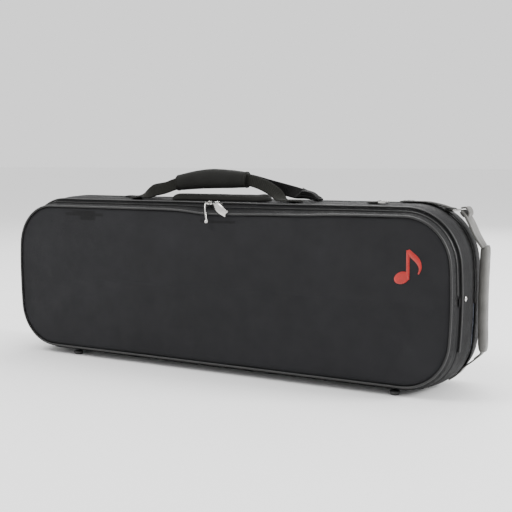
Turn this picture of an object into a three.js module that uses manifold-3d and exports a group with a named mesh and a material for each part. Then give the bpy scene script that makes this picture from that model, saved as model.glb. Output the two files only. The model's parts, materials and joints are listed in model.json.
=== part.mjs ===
// Oblong violin case, standing on its spine with the lid towards -Y. Millimetres, +Z up.
// Design coordinates: x = 0 at mid length, y = 0 at the lid's face, z = 0 at the face's lower edge.
// The exported group moves them so that the origin lies under the middle of the whole case.
import * as THREE from "three";
import { mergeVertices } from "three/addons/utils/BufferGeometryUtils.js";
import Module from "manifold-3d";

// ---------------------------------------------------------------- driving dimensions
// Outline of the padded outside at each depth: half length, lowest and highest z, upper and lower corner radius.
const STATIONS = [
  { y: 0, half: 392, low: 3, high: 245, radius: 67, lowRadius: 67 },
  { y: 2, half: 395, low: 0, high: 248, radius: 70, lowRadius: 70 },
  { y: 14, half: 397.4, low: -8, high: 252, radius: 74, lowRadius: 73 },
  { y: 20, half: 398.4, low: -9, high: 254, radius: 77, lowRadius: 74 },
  { y: 27, half: 399.5, low: -9.5, high: 256, radius: 80, lowRadius: 74 },
  { y: 37, half: 400.4, low: -10, high: 258.5, radius: 82, lowRadius: 73 },
  { y: 60, half: 404, low: -10.5, high: 262, radius: 84, lowRadius: 70 },
  { y: 92, half: 406, low: -10.5, high: 263, radius: 86, lowRadius: 70 },
  { y: 119, half: 405, low: -10, high: 262.5, radius: 86, lowRadius: 70 },
  { y: 131, half: 402, low: -7, high: 259.5, radius: 84, lowRadius: 68 },
  { y: 137, half: 395, low: 0, high: 252.5, radius: 77, lowRadius: 61 },
];
const BOW = 2; // how far each end bows out between its corners
const CORNER_STEPS = 6;
const END_STEPS = 2;

const PARTING_Y = 20; // zip centre line and lid hinge axis
const RIM_GAP = 0.3; // each rim stands this far from the parting plane
const COVER = 2.2; // padded nylon cover
const CLEAR = 0.4; // air between a cover and the shell under it
const SHELL_WALL = 7;
const SHELL_INSET = COVER + CLEAR;
const BASE_BACK_Y = 116; // outside of the base shell's back wall
const LID_COVER_END_Y = 13.2;
const BASE_COVER_START_Y = 27.2;
const POCKET_ZIP_Y = 86;
const POCKET_BACK_Y = 137;
const ZIP_TAPE = 1.2;
const ZIP_END_Z = 129; // the zip stops here on both ends of the case
const WELT_R = 1.8;

const FOOT = { r: 7.6, floor: -14.8, lidY: 11.7, baseY: 72, left: -278, right: 310 };
// Top handle: x, middle height and half height of the padded grip at each station along it.
const GRIP = { y: 61, halfY: 13, wall: 2.2, stops: [[-94, 289, 12.8], [-66, 293.5, 15], [-30, 296.5, 16.3],
  [6, 296.5, 15], [38, 295.5, 12.6]] };
const STRAP = { width: 19, thick: 2.4, frontY: 49, backY: 72 };
const END_GRIP = { x: 418.2, y: 90, low: 46, high: 203, halfX: 6.8, halfY: 12 };
const BED = { front: 44, back: 108.6, floor: 4.6 }; // the foam block that holds the violin
const SLIDER_X = { left: -9, right: 5, pocket: -60 };
const PULL_PIVOT = 4.1; // height of a slider's crossbar above its plate's underside

// ---------------------------------------------------------------- materials
const finish = (color, roughness, metalness = 0) =>
  new THREE.MeshStandardMaterial({ color, roughness, metalness });
const NYLON = finish(0x333338, 0.8);
const PIPING = finish(0x4a4a4c, 0.55);
const TAPE = finish(0x222224, 0.85);
const WEBBING = finish(0x2a2b28, 0.8);
const LEATHER = finish(0x80807a, 0.5);
const METAL = finish(0xc8c6c0, 0.25, 1);
const RUBBER = finish(0x161617, 0.7);
const SHELL = finish(0x8a6f4d, 0.7);
const PLUSH = finish(0x2c3a55, 0.95);
const THREAD = finish(0xd5231a, 0.6);

const group = new THREE.Group();
const add = (name, geometry, material) => {
  const mesh = new THREE.Mesh(geometry, material);
  mesh.name = name;
  group.add(mesh);
  return mesh;
};

// ---------------------------------------------------------------- geometry helpers
const mix = (a, b, t) => a + (b - a) * t;

// The outline numbers at depth y, drawn in by inset.
function sectionAt(y, inset = 0) {
  const last = STATIONS.length - 1;
  let i = 1;
  while (i < last && STATIONS[i].y < y) i += 1;
  const [a, b] = [STATIONS[i - 1], STATIONS[i]];
  const t = (y - a.y) / (b.y - a.y);
  return {
    half: mix(a.half, b.half, t) - inset,
    low: mix(a.low, b.low, t) + inset,
    high: mix(a.high, b.high, t) - inset,
    radius: mix(a.radius, b.radius, t) - inset,
    lowRadius: mix(a.lowRadius, b.lowRadius, t) - inset,
  };
}

// A quarter of a rounded rectangle with bowed ends, from the middle of its right end to the end of its corner.
function quarter(half, rise, radius) {
  const reach = rise - radius;
  const endRadius = (reach * reach + BOW * BOW) / (2 * BOW);
  const endAngle = Math.asin(reach / endRadius);
  const points = [];
  for (let i = 0; i < END_STEPS; i += 1) {
    const a = (endAngle * i) / END_STEPS;
    points.push([half - endRadius + endRadius * Math.cos(a), endRadius * Math.sin(a)]);
  }
  const cornerX = half - endRadius + (endRadius - radius) * Math.cos(endAngle);
  const cornerZ = (endRadius - radius) * Math.sin(endAngle);
  for (let i = 0; i <= CORNER_STEPS; i += 1) {
    const a = mix(endAngle, Math.PI / 2, i / CORNER_STEPS);
    points.push([cornerX + radius * Math.cos(a), cornerZ + radius * Math.sin(a)]);
  }
  const fit = rise / points[points.length - 1][1];
  return points.map(([x, z]) => [x, z * fit]);
}

// Points [x, z] of the whole outline, from the middle of the right end upwards and round.
function outline({ half, low, high, radius, lowRadius }) {
  const rise = (high - low) / 2;
  const arch = (points) => [...points, ...points.map(([x, z]) => [-x, z]).reverse().slice(0, -1)];
  const top = arch(quarter(half, rise, radius));
  const bottom = arch(quarter(half, rise, lowRadius)).map(([x, z]) => [-x, -z]);
  return [...top, ...bottom].map(([x, z]) => [x, z + (low + high) / 2]);
}

const ring = (y, inset = 0) => outline(sectionAt(y, inset)).map(([x, z]) => new THREE.Vector3(x, y, z));

// Skins a list of rings of equal length. Loop joins the last ring to the first; otherwise both ends are capped.
function loft(rings, loop = false) {
  const n = rings[0].length;
  const positions = rings.flat().flatMap((p) => [p.x, p.y, p.z]);
  const index = [];
  const bands = loop ? rings.length : rings.length - 1;
  for (let r = 0; r < bands; r += 1) {
    const [a, b] = [r * n, ((r + 1) % rings.length) * n];
    for (let i = 0; i < n; i += 1) {
      const j = (i + 1) % n;
      index.push(a + i, a + j, b + j, a + i, b + j, b + i);
    }
  }
  if (!loop) {
    for (const [ringIndex, turn] of [[0, true], [rings.length - 1, false]]) {
      const [u, v] = capAxes(rings[ringIndex]);
      const flat = rings[ringIndex].map((p) => new THREE.Vector2(p[u], p[v]));
      const clockwise = THREE.ShapeUtils.isClockWise(flat);
      for (const [p, q, s] of THREE.ShapeUtils.triangulateShape(flat, [])) {
        const face = [p, q, s].map((k) => k + ringIndex * n);
        if (turn !== clockwise) face.reverse();
        index.push(...face);
      }
    }
  }
  return outward(positions, index, rings, loop);
}

// The two axes in which a ring is drawn largest, so that its cap can be cut into triangles.
function capAxes(points) {
  const box = new THREE.Box3().setFromPoints(points);
  const size = box.getSize(new THREE.Vector3());
  return ["x", "y", "z"].sort((a, b) => size[b] - size[a]).slice(0, 2).sort();
}

function outward(positions, index, rings, loop) {
  const geometry = new THREE.BufferGeometry();
  geometry.setAttribute("position", new THREE.Float32BufferAttribute(positions, 3));
  geometry.setIndex(index);
  const caps = loop ? 0 : 2;
  const capStart = index.length - caps * (rings[0].length - 2) * 3;
  fixCaps(index, capStart, positions);
  geometry.setIndex(volumeOf(positions, index) < 0 ? [...index].reverse() : index);
  return geometry;
}

// Turns each cap so that its edges run against those of the walls beside it.
function fixCaps(index, capStart, positions) {
  if (capStart >= index.length) return;
  const walls = new Set();
  for (let i = 0; i < capStart; i += 3) {
    for (let k = 0; k < 3; k += 1) walls.add(`${index[i + k]}_${index[i + ((k + 1) % 3)]}`);
  }
  const capSize = (index.length - capStart) / 2;
  for (let start = capStart; start < index.length; start += capSize) {
    let same = 0;
    for (let i = start; i < start + capSize; i += 3) {
      for (let k = 0; k < 3; k += 1) same += walls.has(`${index[i + k]}_${index[i + ((k + 1) % 3)]}`) ? 1 : 0;
    }
    if (same === 0) continue;
    for (let i = start; i < start + capSize; i += 3) {
      [index[i + 1], index[i + 2]] = [index[i + 2], index[i + 1]];
    }
  }
}

function volumeOf(positions, index) {
  const corner = (k) => new THREE.Vector3().fromArray(positions, index[k] * 3);
  let six = 0;
  for (let i = 0; i < index.length; i += 3) six += corner(i).dot(corner(i + 1).cross(corner(i + 2)));
  return six / 6;
}

// A closed strip of the case's outline between two depths, from outer inset to inner inset.
const band = (y0, y1, outer, inner) =>
  loft([ring(y0, inner), ring(y0, outer), ring(y1, outer), ring(y1, inner)], true);

// The part of a ring above (side 1) or below (side -1) height z, cut exactly at z on both ends of the case.
function partRing(y, inset, z, side) {
  const points = ring(y, inset);
  const cut = [];
  points.forEach((p, i) => {
    const q = points[(i + 1) % points.length];
    if ((p.z - z) * side >= 0) cut.push(p);
    if ((p.z - z) * (q.z - z) < 0) cut.push(p.clone().lerp(q, (z - p.z) / (q.z - p.z)));
  });
  const gap = cut.findIndex((p, i) => p.distanceTo(cut[(i + 1) % cut.length]) > 700 && p.z * side < z * side + 0.01);
  return gap < 0 ? cut : [...cut.slice(gap + 1), ...cut.slice(0, gap + 1)];
}

// A strip along the outline between two depths, only above or below a height.
function partBand(y0, y1, outer, inner, z, side) {
  const edges = [[y0, inner], [y0, outer], [y1, outer], [y1, inner]].map(([y, s]) => partRing(y, s, z, side));
  return loft(edges[0].map((_, i) => edges.map((edge) => edge[i])));
}

// A welt of radius r along a list of points; up is the direction across the run that lies in the outline's plane.
function cord(points, r, sides = 6, loop = false) {
  const rings = points.map((p, i) => {
    const before = points[loop ? (i + points.length - 1) % points.length : Math.max(0, i - 1)];
    const after = points[loop ? (i + 1) % points.length : Math.min(points.length - 1, i + 1)];
    const along = after.clone().sub(before).normalize();
    const depth = new THREE.Vector3(0, 1, 0);
    const across = depth.clone().cross(along).normalize();
    return Array.from({ length: sides }, (_, k) => {
      const a = (2 * Math.PI * (k + 0.5)) / sides;
      return p.clone().addScaledVector(depth, r * Math.cos(a)).addScaledVector(across, r * Math.sin(a));
    });
  });
  return loft(rings, loop);
}

// A flat ribbon: stops are [centre, width direction], in order along the ribbon.
function ribbon(stops, width, thick) {
  const centres = stops.map(([p]) => p);
  return loft(stops.map(([p, wide], i) => {
    const along = centres[Math.min(i + 1, centres.length - 1)].clone().sub(centres[Math.max(i - 1, 0)]).normalize();
    const w = wide.clone().addScaledVector(along, -wide.dot(along)).normalize().multiplyScalar(width / 2);
    const t = along.clone().cross(w).normalize().multiplyScalar(thick / 2);
    return [[1, 1], [-1, 1], [-1, -1], [1, -1]].map(([s, k]) =>
      p.clone().addScaledVector(w, s).addScaledVector(t, k));
  }));
}

const V = (x, y, z) => new THREE.Vector3(x, y, z);

const wasm = await Module();
wasm.setup();

// A closed geometry as a solid that can be joined and cut.
function solid(geometry) {
  const plain = geometry.clone();
  plain.deleteAttribute("normal");
  plain.deleteAttribute("uv");
  const merged = mergeVertices(plain, 1e-3);
  return new wasm.Manifold(new wasm.Mesh({
    numProp: 3,
    vertProperties: merged.attributes.position.array,
    triVerts: new Uint32Array(merged.index.array),
  }));
}

// The geometry of a solid.
function bare(made) {
  const mesh = made.getMesh();
  const geometry = new THREE.BufferGeometry();
  geometry.setAttribute("position", new THREE.BufferAttribute(new Float32Array(mesh.vertProperties), 3));
  return geometry.setIndex(new THREE.BufferAttribute(new Uint32Array(mesh.triVerts), 1));
}

function roundedShape(x0, z0, x1, z1, r) {
  const shape = new THREE.Shape();
  shape.moveTo(x0 + r, z0);
  shape.lineTo(x1 - r, z0);
  shape.absarc(x1 - r, z0 + r, r, -Math.PI / 2, 0);
  shape.lineTo(x1, z1 - r);
  shape.absarc(x1 - r, z1 - r, r, 0, Math.PI / 2);
  shape.lineTo(x0 + r, z1);
  shape.absarc(x0 + r, z1 - r, r, Math.PI / 2, Math.PI);
  shape.lineTo(x0, z0 + r);
  shape.absarc(x0 + r, z0 + r, r, Math.PI, Math.PI * 1.5);
  return shape;
}

// Extrudes a shape drawn in x and z through the depths y0 to y1.
function slab(shape, y0, y1, curveSegments = 3) {
  const geometry = new THREE.ExtrudeGeometry(shape, { depth: y1 - y0, bevelEnabled: false, curveSegments });
  return geometry.rotateX(Math.PI / 2).translate(0, y1, 0);
}

// A round button along an axis, from a profile of [radius, height] pairs.
const turned = (profile, segments = 12) =>
  new THREE.LatheGeometry(profile.map(([r, h]) => new THREE.Vector2(r, h)), segments);

// ---------------------------------------------------------------- shells and covers
function addShells() {
  const rim = PARTING_Y - RIM_GAP;
  const inner = SHELL_INSET + SHELL_WALL;
  add("lid_shell", loft([
    ring(SHELL_INSET + 6, inner), ring(rim, inner), ring(rim, SHELL_INSET),
    ring(SHELL_INSET + 3, SHELL_INSET), ring(SHELL_INSET, SHELL_INSET + 3),
  ]), SHELL);
  add("lid_cover", loft([
    ring(COVER, SHELL_INSET + 2), ring(COVER + 3, COVER), ring(LID_COVER_END_Y, COVER),
    ring(LID_COVER_END_Y, 0), ring(2, 0), ring(0, 0),
  ]), NYLON);
  const start = PARTING_Y + RIM_GAP;
  add("base_shell", loft([
    ring(BASE_BACK_Y - SHELL_WALL, inner), ring(start, inner), ring(start, SHELL_INSET),
    ring(60, SHELL_INSET), ring(90, SHELL_INSET), ring(BASE_BACK_Y - 4, SHELL_INSET), ring(BASE_BACK_Y, SHELL_INSET + 4),
  ]), SHELL);
  add("base_cover", loft([
    ring(BASE_COVER_START_Y, COVER), ring(BASE_COVER_START_Y, 0), ring(60, 0), ring(POCKET_ZIP_Y - 4, 0),
    ring(POCKET_ZIP_Y - 4, COVER), ring(60, COVER),
  ], true), NYLON);
  add("pocket_cover", loft([
    ring(POCKET_BACK_Y - COVER, COVER + 6), ring(127, COVER), ring(115, COVER), ring(POCKET_ZIP_Y + 4, COVER),
    ring(POCKET_ZIP_Y + 4, 0), ring(115, 0), ring(127, 0), ring(POCKET_BACK_Y, 0),
  ]), NYLON);
}

// ---------------------------------------------------------------- piping, zips and the fabric hinge
function addPiping() {
  add("face_welt", cord(ring(0, -2.8).map((p) => p.setY(-0.8)), WELT_R, 6, true), PIPING);
  add("rim_welt", cord(partRing(BASE_COVER_START_Y + 2.2, -2.1, ZIP_END_Z - 80, 1), WELT_R), PIPING);
  add("pocket_welt", cord(ring(POCKET_BACK_Y - 1, -1.9), WELT_R, 6, true), PIPING);
}

function addMainZip() {
  const [lidSide, baseSide] = [PARTING_Y - RIM_GAP, PARTING_Y + RIM_GAP];
  const tapeOuter = COVER - ZIP_TAPE;
  add("lid_zip_tape", partBand(LID_COVER_END_Y + 0.4, lidSide, tapeOuter, COVER, ZIP_END_Z, 1), TAPE);
  add("base_zip_tape", partBand(baseSide, BASE_COVER_START_Y - 0.4, tapeOuter, COVER, ZIP_END_Z, 1), TAPE);
  add("lid_zip_coil", partBand(lidSide - 2.2, lidSide, tapeOuter - 1.7, tapeOuter - 0.3, ZIP_END_Z + 1, 1), TAPE);
  add("base_zip_coil", partBand(baseSide, baseSide + 2.2, tapeOuter - 1.7, tapeOuter - 0.3, ZIP_END_Z + 1, 1), TAPE);
  add("lid_gusset", partBand(LID_COVER_END_Y + 0.4, lidSide, tapeOuter, COVER, ZIP_END_Z - 0.5, -1), NYLON);
  add("base_gusset", partBand(baseSide, BASE_COVER_START_Y - 0.4, tapeOuter, COVER, ZIP_END_Z - 0.5, -1), NYLON);
}

function addPocketZip() {
  const y = POCKET_ZIP_Y;
  add("pocket_zip_base_tape", partBand(y - 3.6, y - RIM_GAP, 1, COVER, ZIP_END_Z - 20, 1), TAPE);
  add("pocket_zip_tape", partBand(y + RIM_GAP, y + 3.6, 1, COVER, ZIP_END_Z - 20, 1), TAPE);
}

// A slider: a plate over the zip, two posts and the crossbar that its pull turns on.
function slider(x, y, under) {
  const box = (wx, wy, wz, dx, dz) => solid(new THREE.BoxGeometry(wx, wy, wz).translate(x + dx, y, under + dz));
  const bar = box(6, 1.2, 1.2, 0, PULL_PIVOT);
  return bare(box(12, 8.4, 1.6, 0, 0.8).add(box(1.4, 2.4, 3.6, -2.9, 3.1)).add(box(1.4, 2.4, 3.6, 2.9, 3.1)).add(bar));
}

// A pull: an eye round the crossbar and a flat tongue along the stops.
function pull(stops, width, wide = V(1, 0, 0)) {
  const back = Math.sign(stops[0].y - stops[1].y) * 1.6;
  const eye = turned([[1, -1.4], [2.1, -1.4], [2.1, 1.4], [1, 1.4], [1, -1.4]], 10).rotateZ(Math.PI / 2);
  const tongue = ribbon(stops.map((p, i) => [p, i < 2 ? V(1, 0, 0) : wide]), width, 1.5);
  return bare(solid(eye.translate(stops[0].x, stops[0].y + back, stops[0].z)).add(solid(tongue)));
}

function addSliders() {
  const y = PARTING_Y;
  const under = sectionAt(y + 4.2).high + 1.1;
  const pivot = under + PULL_PIVOT;
  for (const [side, tipX, tipZ, wide] of [["left", 0, 229, V(1, 0, 0)], ["right", 36, 243, V(0.6, 0, 0.8)]]) {
    const x = SLIDER_X[side];
    add(`zip_slider_${side}`, slider(x, y, under), METAL);
    const stops = [V(x, y - 1.6, pivot), V(mix(x, tipX, 0.08), 10, pivot - 0.6), V(mix(x, tipX, 0.35), 0, pivot - 3.6),
      V(mix(x, tipX, 0.68), -5.4, mix(pivot - 3.6, tipZ, 0.5)), V(tipX, -6.4, tipZ)];
    add(`zip_pull_${side}`, pull(stops, 2.8, wide), METAL);
  }
  const pocketUnder = sectionAt(POCKET_ZIP_Y).high + 0.4;
  add("pocket_slider", slider(SLIDER_X.pocket, POCKET_ZIP_Y, pocketUnder), METAL);
  const lying = [1.6, 10, 24].map((d) => V(SLIDER_X.pocket, POCKET_ZIP_Y + d, pocketUnder + PULL_PIVOT - d / 40));
  add("pocket_pull", pull(lying, 2.8), METAL);
}

// ---------------------------------------------------------------- feet, rivets and the emblem
function addFeet() {
  for (const [half, y] of [["lid", FOOT.lidY], ["base", FOOT.baseY]]) {
    const top = Math.min(sectionAt(y - FOOT.r).low, sectionAt(y + FOOT.r).low) - 0.4;
    const h = top - FOOT.floor;
    for (const side of ["left", "right"]) {
      const foot = turned([[0, 0], [FOOT.r - 1.5, 0], [FOOT.r, 1.5], [FOOT.r, h], [0, h]]);
      add(`${half}_foot_${side}`, foot.rotateX(Math.PI / 2).translate(FOOT[side], y, FOOT.floor), RUBBER);
    }
  }
  for (const [side, sign] of [["left", -1], ["right", 1]]) {
    const rivet = turned([[0, 0], [3.6, 0], [3, 1.3], [1.4, 2.1], [0, 2.3]], 10).rotateZ(-sign * Math.PI / 2);
    add(`end_rivet_${side}`, rivet.translate(sign * (sectionAt(46).half + 0.8), 46, 129), METAL);
  }
}

// A plain embroidered quaver on the lid's face.
function addEmblem() {
  const head = new THREE.Shape();
  head.absellipse(322, 160, 12, 8.5, 0, Math.PI * 2, false, 0.45);
  const stem = new THREE.Shape();
  stem.moveTo(328, 160);
  stem.lineTo(333.4, 160);
  stem.lineTo(333.4, 186);
  stem.quadraticCurveTo(347, 180, 346, 165);
  stem.quadraticCurveTo(356, 184, 333.4, 200);
  stem.lineTo(328, 200);
  add("emblem", bare(solid(slab(head, -0.9, -0.3, 10)).add(solid(slab(stem, -0.9, -0.3, 4)))), THREAD);
}

// ---------------------------------------------------------------- top handle
const topZ = (y) => sectionAt(y).high;

function addTopHandle() {
  const { width, thick, frontY, backY } = STRAP;
  const [flat, upright] = [V(0, 1, 0), V(0, 0, 1)];
  const tilt = (t) => V(0, 1 - t, t);
  const rest = (y) => topZ(y) + 0.4 + thick / 2;
  const strap = (name, stops) => add(name, ribbon(stops, width, thick), WEBBING);
  const lowFront = rest(frontY + 9);
  strap("front_strap_foot_left", [[V(-182, frontY, lowFront), flat], [V(-166, frontY, lowFront + 0.2), flat],
    [V(-154, 50, lowFront + 9), tilt(0.35)], [V(-142, 51.5, 274), tilt(0.75)]]);
  strap("front_strap", [[V(-138, 52, 275.5), upright], [V(-118, 54, 280.5), upright], [V(-94, 57.4, 289), upright],
    [V(-66, 57.4, 293.5), upright], [V(-30, 57.4, 296.5), upright], [V(6, 57.4, 296.5), upright],
    [V(38, 57.4, 295.5), upright], [V(60, 55, 291), upright], [V(80, 52.8, 283.5), upright],
    [V(95, 51.5, 275.5), upright]]);
  strap("front_strap_foot_right", [[V(98, 51, 273.5), tilt(0.8)], [V(106, 50, lowFront + 5), tilt(0.4)],
    [V(116, frontY, lowFront + 0.3), flat], [V(140, frontY, lowFront), flat]]);
  const lowBack = rest(backY + 9);
  strap("back_strap_foot_left", [[V(-206, backY, lowBack), flat], [V(-186, backY, lowBack + 0.2), flat],
    [V(-170, backY, lowBack + 7), tilt(0.35)], [V(-155, 71, 275.5), tilt(0.8)]]);
  strap("back_strap", [[V(-151, 71, 276.5), upright], [V(-124, 68.5, 281), upright], [V(-94, 64.6, 289), upright],
    [V(-66, 64.6, 293.5), upright], [V(-30, 64.6, 296.5), upright], [V(6, 64.6, 296.5), upright],
    [V(38, 64.6, 295.5), upright], [V(75, 68.5, 286.5), upright], [V(118, 71, 276), upright]]);
  const fold = [[122, 277, 4, 8], [134, 275.5, 7, 9], [150, 272, 7.5, 9], [164, 267.5, 4, 10]];
  add("back_strap_fold", loft(fold.map(([x, z, halfZ, halfY]) => ellipse(x, backY, z, halfY, halfZ, 8))), WEBBING);
  addGrip();
  const pad = [[-104, 5], [-96, 8.6], [-60, 9.8], [60, 9.8], [74, 8.6], [81, 5]];
  add("handle_rest_pad", loft(pad.map(([x, rise]) => padRing(x, rise))), NYLON);
}

// Points of an upright ellipse in the plane of constant x.
function ellipse(x, y, z, halfY, halfZ, sides) {
  return Array.from({ length: sides }, (_, k) => {
    const a = (2 * Math.PI * (k + 0.5)) / sides;
    return V(x, y + halfY * Math.cos(a), z + halfZ * Math.sin(a));
  });
}

function padRing(x, rise) {
  const [front, back] = [47, 75];
  const under = [front, mix(front, back, 0.5), back].map((y) => V(x, y, topZ(y) + 0.4));
  const over = [[0.97, 0.55], [0.75, 0.95], [0.5, 1], [0.25, 0.95], [0.03, 0.55]];
  return [...under, ...over.map(([t, k]) => V(x, mix(front, back, t), topZ(mix(front, back, t)) + 0.4 + rise * k))];
}

// The padded wrap round both straps: an open-ended tube, made by rings out along it and back inside it.
function addGrip() {
  const { y, halfY, wall, stops } = GRIP;
  const rings = (inset) => stops.map(([x, z, halfZ], i) => {
    const taper = i === 0 || i === stops.length - 1 ? 0.86 : 1;
    return roundedRing(x, y, z, halfY * taper - inset, halfZ - inset);
  });
  add("handle_grip", loft([...rings(0), ...rings(wall).reverse()], true), NYLON);
}

function roundedRing(x, y, z, halfY, halfZ) {
  const corner = [[1, 0.45], [0.9, 0.78], [0.6, 1], [-0.6, 1], [-0.9, 0.78], [-1, 0.45]];
  const upper = corner.map(([a, b]) => V(x, y + a * halfY, z + b * halfZ));
  const lower = corner.map(([a, b]) => V(x, y - a * halfY, z - b * halfZ));
  return [...upper, ...lower];
}

// ---------------------------------------------------------------- end handle, rings and tabs
function addEndHandle() {
  const { x, y, low, high, halfX, halfY } = END_GRIP;
  const wide = V(0, 1, 0);
  const leather = (name, stops, width, thick) =>
    add(name, ribbon(stops.map((p) => [p, wide]), width, thick), LEATHER);
  const grip = [[low, 0.7], [low + 8, 1], [high - 8, 1], [high, 0.7]].map(([z, k]) =>
    Array.from({ length: 10 }, (_, i) => {
      const a = (2 * Math.PI * (i + 0.5)) / 10;
      return V(x + halfX * k * Math.cos(a), y + halfY * k * Math.sin(a), z);
    }));
  add("end_grip", loft(grip), LEATHER);
  leather("end_strap_upper", [V(387.6, y, 252), V(392.6, y, 247), V(400, y, 233.6), V(407, y, 218.6),
    V(413.4, y, 208.6), V(416.8, y, high + 1.8)], 22, 3);
  leather("end_strap_lower", [V(x, y, low - 1.8), V(415.6, y, 41), V(411.6, y, 37.6), V(408.6, y, 34.4)], 20, 3);
  leather("end_tab_lower", [V(406.6, y, 31.6), V(401.6, y, 27), V(393.6, y, 16.6), V(383.2, y, 4.8), V(373.4, y, -2.4)],
    20, 2.2);
  add("corner_strap", ribbon([[292, 264.6], [326, 264.4], [350, 260.8], [367.6, 255]]
    .map(([sx, sz]) => [V(sx, y, sz), wide]), 22, 2.4), WEBBING);
  add("corner_ring", frameRing(377, y, 253.6, 15, 26), METAL);
  const tabY = 64;
  add("side_ring_tab", ribbon([V(247, tabY, topZ(74) + 1.4), V(261, tabY, topZ(74) + 1.5)]
    .map((p) => [p, wide]), 18, 1.6), WEBBING);
  add("side_ring", frameRing(269.6, tabY, topZ(74) + 1.9, 13, 22), METAL);
}

// A flat rectangular ring of bar, lying level.
function frameRing(x, y, z, length, width) {
  const bar = 2.4;
  const outer = roundedShape(-length / 2, -width / 2, length / 2, width / 2, 3);
  outer.holes.push(roundedShape(bar - length / 2, bar - width / 2, length / 2 - bar, width / 2 - bar, 1));
  const geometry = new THREE.ExtrudeGeometry(outer, { depth: bar, bevelEnabled: false, curveSegments: 2 });
  return geometry.translate(x, y, z - bar / 2);
}

// ---------------------------------------------------------------- inside
// The inside outline of a shell at depth y, drawn in by extra.
function insideRing(half, y, extra) {
  const [y0, y1] = half === "lid"
    ? [SHELL_INSET + 6, PARTING_Y - RIM_GAP] : [PARTING_Y + RIM_GAP, BASE_BACK_Y - SHELL_WALL];
  const inset = SHELL_INSET + SHELL_WALL + extra;
  const [near, far] = [ring(y0, inset), ring(y1, inset)];
  return near.map((p, i) => p.lerp(far[i], (y - y0) / (y1 - y0)));
}

// The violin's outline, scroll towards +x: lower bout, waist and upper bout round the middle height.
function violinShape(grow) {
  const mid = 126;
  const half = [[-378, 0], [-376, 44], [-352, 88], [-300, 108], [-252, 98], [-222, 74], [-205, 62], [-178, 58],
    [-150, 66], [-122, 82], [-84, 88], [-44, 72], [-24, 40], [-18, 27]];
  const shape = new THREE.Shape();
  const upper = half.map(([x, z]) => new THREE.Vector2(x, mid + z + grow * Math.min(1, z / 20)));
  const lower = half.slice(1).reverse().map(([x, z]) => new THREE.Vector2(x, mid - z - grow));
  shape.moveTo(upper[0].x, upper[0].y);
  shape.splineThru(upper.slice(1, 4));
  shape.splineThru(upper.slice(4, 8));
  shape.splineThru(upper.slice(8));
  shape.lineTo(lower[0].x, lower[0].y);
  shape.splineThru(lower.slice(1, 6));
  shape.splineThru(lower.slice(6, 10));
  shape.splineThru(lower.slice(10));
  return shape;
}

function addInside() {
  const { front, back, floor } = BED;
  const deep = back - floor;
  const well = (shape, from, to, segments) => solid(slab(shape, from, to, segments));
  const block = solid(loft([insideRing("base", front, 0.6), insideRing("base", back, 0.6)]))
    .subtract(well(violinShape(4), front - 1, deep, 2))
    .subtract(well(roundedShape(-30, 92, 216, 160, 12), front - 1, 86, 3))
    .subtract(well(roundedShape(246, 24, 372, 226, 42), front - 1, deep, 4))
    .subtract(well(roundedShape(10, 20, 216, 76, 14), front - 1, deep, 3));
  add("violin_bed", bare(block), PLUSH);
  const soft = (name, x0, z0, x1, z1, y0, y1) =>
    add(name, slab(roundedShape(x0, z0, x1, z1, 8), y0, y1, 2), PLUSH);
  soft("suspension_pad_lower", -372, 104, -346, 148, deep - 9.4, deep - 0.4);
  soft("suspension_pad_upper", -62, 104, -32, 148, deep - 9.4, deep - 0.4);
  const cradle = well(roundedShape(60, 93, 96, 159, 8), 60, 85.6, 2)
    .subtract(well(roundedShape(58, 108, 98, 144, 10), 58, 76, 2));
  add("neck_cradle", bare(cradle), PLUSH);
  add("neck_strap", ribbon([[V(78, 43.2, 84), V(1, 0, 0)], [V(78, 41.6, 100), V(1, 0, 0)],
    [V(78, 41.2, 152), V(1, 0, 0)], [V(78, 43.2, 168), V(1, 0, 0)]], 24, 1.4), WEBBING);
  add("accessory_lid", slab(roundedShape(238, 15, 378, 235, 48), 40, 43.6, 4), PLUSH);
  add("accessory_pull_tab", ribbon([[V(308, 39, 222), V(1, 0, 0)], [V(308, 38.6, 236), V(1, 0, 0)]], 14, 1.2), LEATHER);
  const gauge = turned([[0, -5], [14.6, -5], [14.6, -5.6], [17, -4.4], [17, 0], [0, 0]], 20);
  add("hygrometer", gauge.translate(308, 39.6, 130), METAL);
  addLidInside();
}

function addLidInside() {
  add("lid_lining", loft([insideRing("lid", 9, 0.6), insideRing("lid", 12, 0.6)]), PLUSH);
  for (const [level, z] of [["upper", 168], ["lower", 84]]) {
    add(`bow_tip_pocket_${level}`, slab(roundedShape(-352, z - 15, -268, z + 15, 6), 12.4, 15, 2), PLUSH);
    const post = solid(turned([[0, 0], [5, 0], [5, 8], [0, 8]], 10));
    const arm = solid(slab(roundedShape(-22, -6, 22, 6, 5.8), 7, 10.6, 3));
    add(`bow_spinner_${level}`, bare(post.add(arm)).translate(248, 12.4, z), PLUSH);
  }
}

addShells();
addPiping();
addMainZip();
addPocketZip();
addSliders();
addFeet();
addEmblem();
addTopHandle();
addEndHandle();
addInside();

const box = new THREE.Box3().setFromObject(group);
const middle = box.getCenter(new THREE.Vector3());
group.position.set(-middle.x, -middle.y, -box.min.z);
const part = new THREE.Group();
part.add(group);
export default part;
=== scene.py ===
import json
import math

import bmesh
import bpy
from mathutils import Matrix, Vector, noise


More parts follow.
